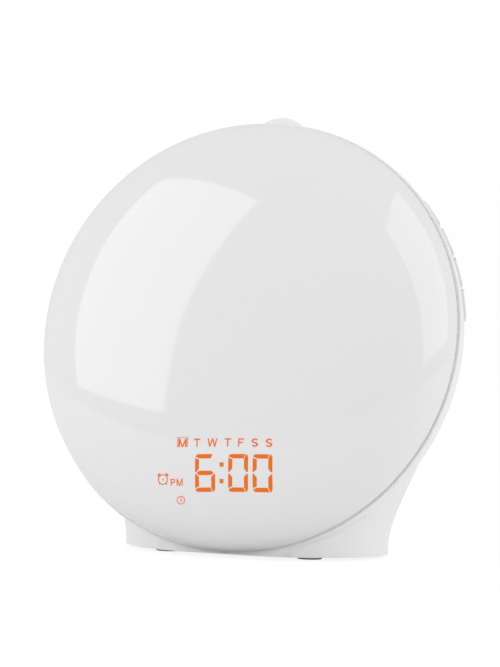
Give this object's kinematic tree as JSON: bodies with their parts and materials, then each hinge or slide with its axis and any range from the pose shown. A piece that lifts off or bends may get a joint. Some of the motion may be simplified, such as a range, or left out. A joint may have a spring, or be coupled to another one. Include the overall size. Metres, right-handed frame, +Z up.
{
  "type": "sunrise alarm clock",
  "caption": "Free-standing sunrise alarm clock: a leaning round opal lamp dome over a lit segment display, on a white housing with a flared foot, rim keys and a snooze bar.",
  "frame": {"origin": "middle of the clock's overall box at the table, under the pads", "axes": "+Z up, the lit face looks towards -Y, and +X is to the right of someone who looks at the face"},
  "size_m": [0.175, 0.1042, 0.1729],
  "materials": {
    "opal_diffuser": "opal white, high gloss",
    "housing_plastic": "white, fine satin gloss",
    "key_plastic": "white, satin",
    "foot_rubber": "matt translucent grey",
    "screw_steel": "zinc plated",
    "cell_steel": "bright",
    "white_plastic": "matt white reflector",
    "black_plastic": "matt",
    "circuit_board": "solder mask",
    "lamp_resin": "phosphor resin",
    "amber_segment": "amber light guide",
    "chip_resin": "moulded resin",
    "speaker_steel": "pressed",
    "magnet_ferrite": "sintered",
    "speaker_paper": "pressed paper",
    "socket_steel": "nickel plated",
    "switch_plastic": "moulded"
  },
  "bodies": {
    "clock_body": {"diffuser_dome": "opal_diffuser", "rear_housing": "housing_plastic", "bottom_plate": "housing_plastic", "rubber_feet": "foot_rubber", "plate_screws": "screw_steel", "battery_door": "housing_plastic", "battery_door_screw": "screw_steel", "battery_holder": "white_plastic", "coin_cell": "cell_steel", "reflector_pan": "white_plastic", "pan_screws": "screw_steel", "lamp_board": "circuit_board", "lamps": "lamp_resin", "display_housing": "black_plastic", "display_segments": "amber_segment", "display_board": "circuit_board", "main_board": "circuit_board", "controller_chips": "chip_resin", "board_screws": "screw_steel", "speaker_basket": "speaker_steel", "speaker_magnet": "magnet_ferrite", "speaker_cone": "speaker_paper", "speaker_ring": "black_plastic", "speaker_screws": "screw_steel", "port_board": "circuit_board", "dc_jack": "black_plastic", "charging_socket": "socket_steel", "right_key_board": "circuit_board", "right_switches": "switch_plastic", "left_key_board": "circuit_board", "left_switches": "switch_plastic", "snooze_key_board": "circuit_board", "snooze_switches": "switch_plastic"},
    "snooze_key": {"snooze_button": "key_plastic"},
    "right_key_1": {"right_button_1": "key_plastic"},
    "right_key_2": {"right_button_2": "key_plastic"},
    "right_key_3": {"right_button_3": "key_plastic"},
    "right_key_4": {"right_button_4": "key_plastic"},
    "left_key_1": {"left_button_1": "key_plastic"},
    "left_key_2": {"left_button_2": "key_plastic"},
    "left_key_3": {"left_button_3": "key_plastic"},
    "left_key_4": {"left_button_4": "key_plastic"}
  },
  "joints": [
    {"name": "snooze_key_press", "type": "slide", "parent": "clock_body", "child": "snooze_key", "axis": [0, -0.2504, -0.9681], "range_m": [0, 0.0006], "stiffness_N_per_m": 900},
    {"name": "right_key_1_press", "type": "slide", "parent": "clock_body", "child": "right_key_1", "axis": [-0.8988, -0.1098, -0.4244], "range_m": [0, 0.0006], "stiffness_N_per_m": 900},
    {"name": "right_key_2_press", "type": "slide", "parent": "clock_body", "child": "right_key_2", "axis": [-0.8988, -0.1098, -0.4244], "range_m": [0, 0.0006], "stiffness_N_per_m": 900},
    {"name": "right_key_3_press", "type": "slide", "parent": "clock_body", "child": "right_key_3", "axis": [-0.8988, -0.1098, -0.4244], "range_m": [0, 0.0006], "stiffness_N_per_m": 900},
    {"name": "right_key_4_press", "type": "slide", "parent": "clock_body", "child": "right_key_4", "axis": [-0.8988, -0.1098, -0.4244], "range_m": [0, 0.0006], "stiffness_N_per_m": 900},
    {"name": "left_key_1_press", "type": "slide", "parent": "clock_body", "child": "left_key_1", "axis": [0.8988, -0.1098, -0.4244], "range_m": [0, 0.0006], "stiffness_N_per_m": 900},
    {"name": "left_key_2_press", "type": "slide", "parent": "clock_body", "child": "left_key_2", "axis": [0.8988, -0.1098, -0.4244], "range_m": [0, 0.0006], "stiffness_N_per_m": 900},
    {"name": "left_key_3_press", "type": "slide", "parent": "clock_body", "child": "left_key_3", "axis": [0.8988, -0.1098, -0.4244], "range_m": [0, 0.0006], "stiffness_N_per_m": 900},
    {"name": "left_key_4_press", "type": "slide", "parent": "clock_body", "child": "left_key_4", "axis": [0.8988, -0.1098, -0.4244], "range_m": [0, 0.0006], "stiffness_N_per_m": 900}
  ]
}
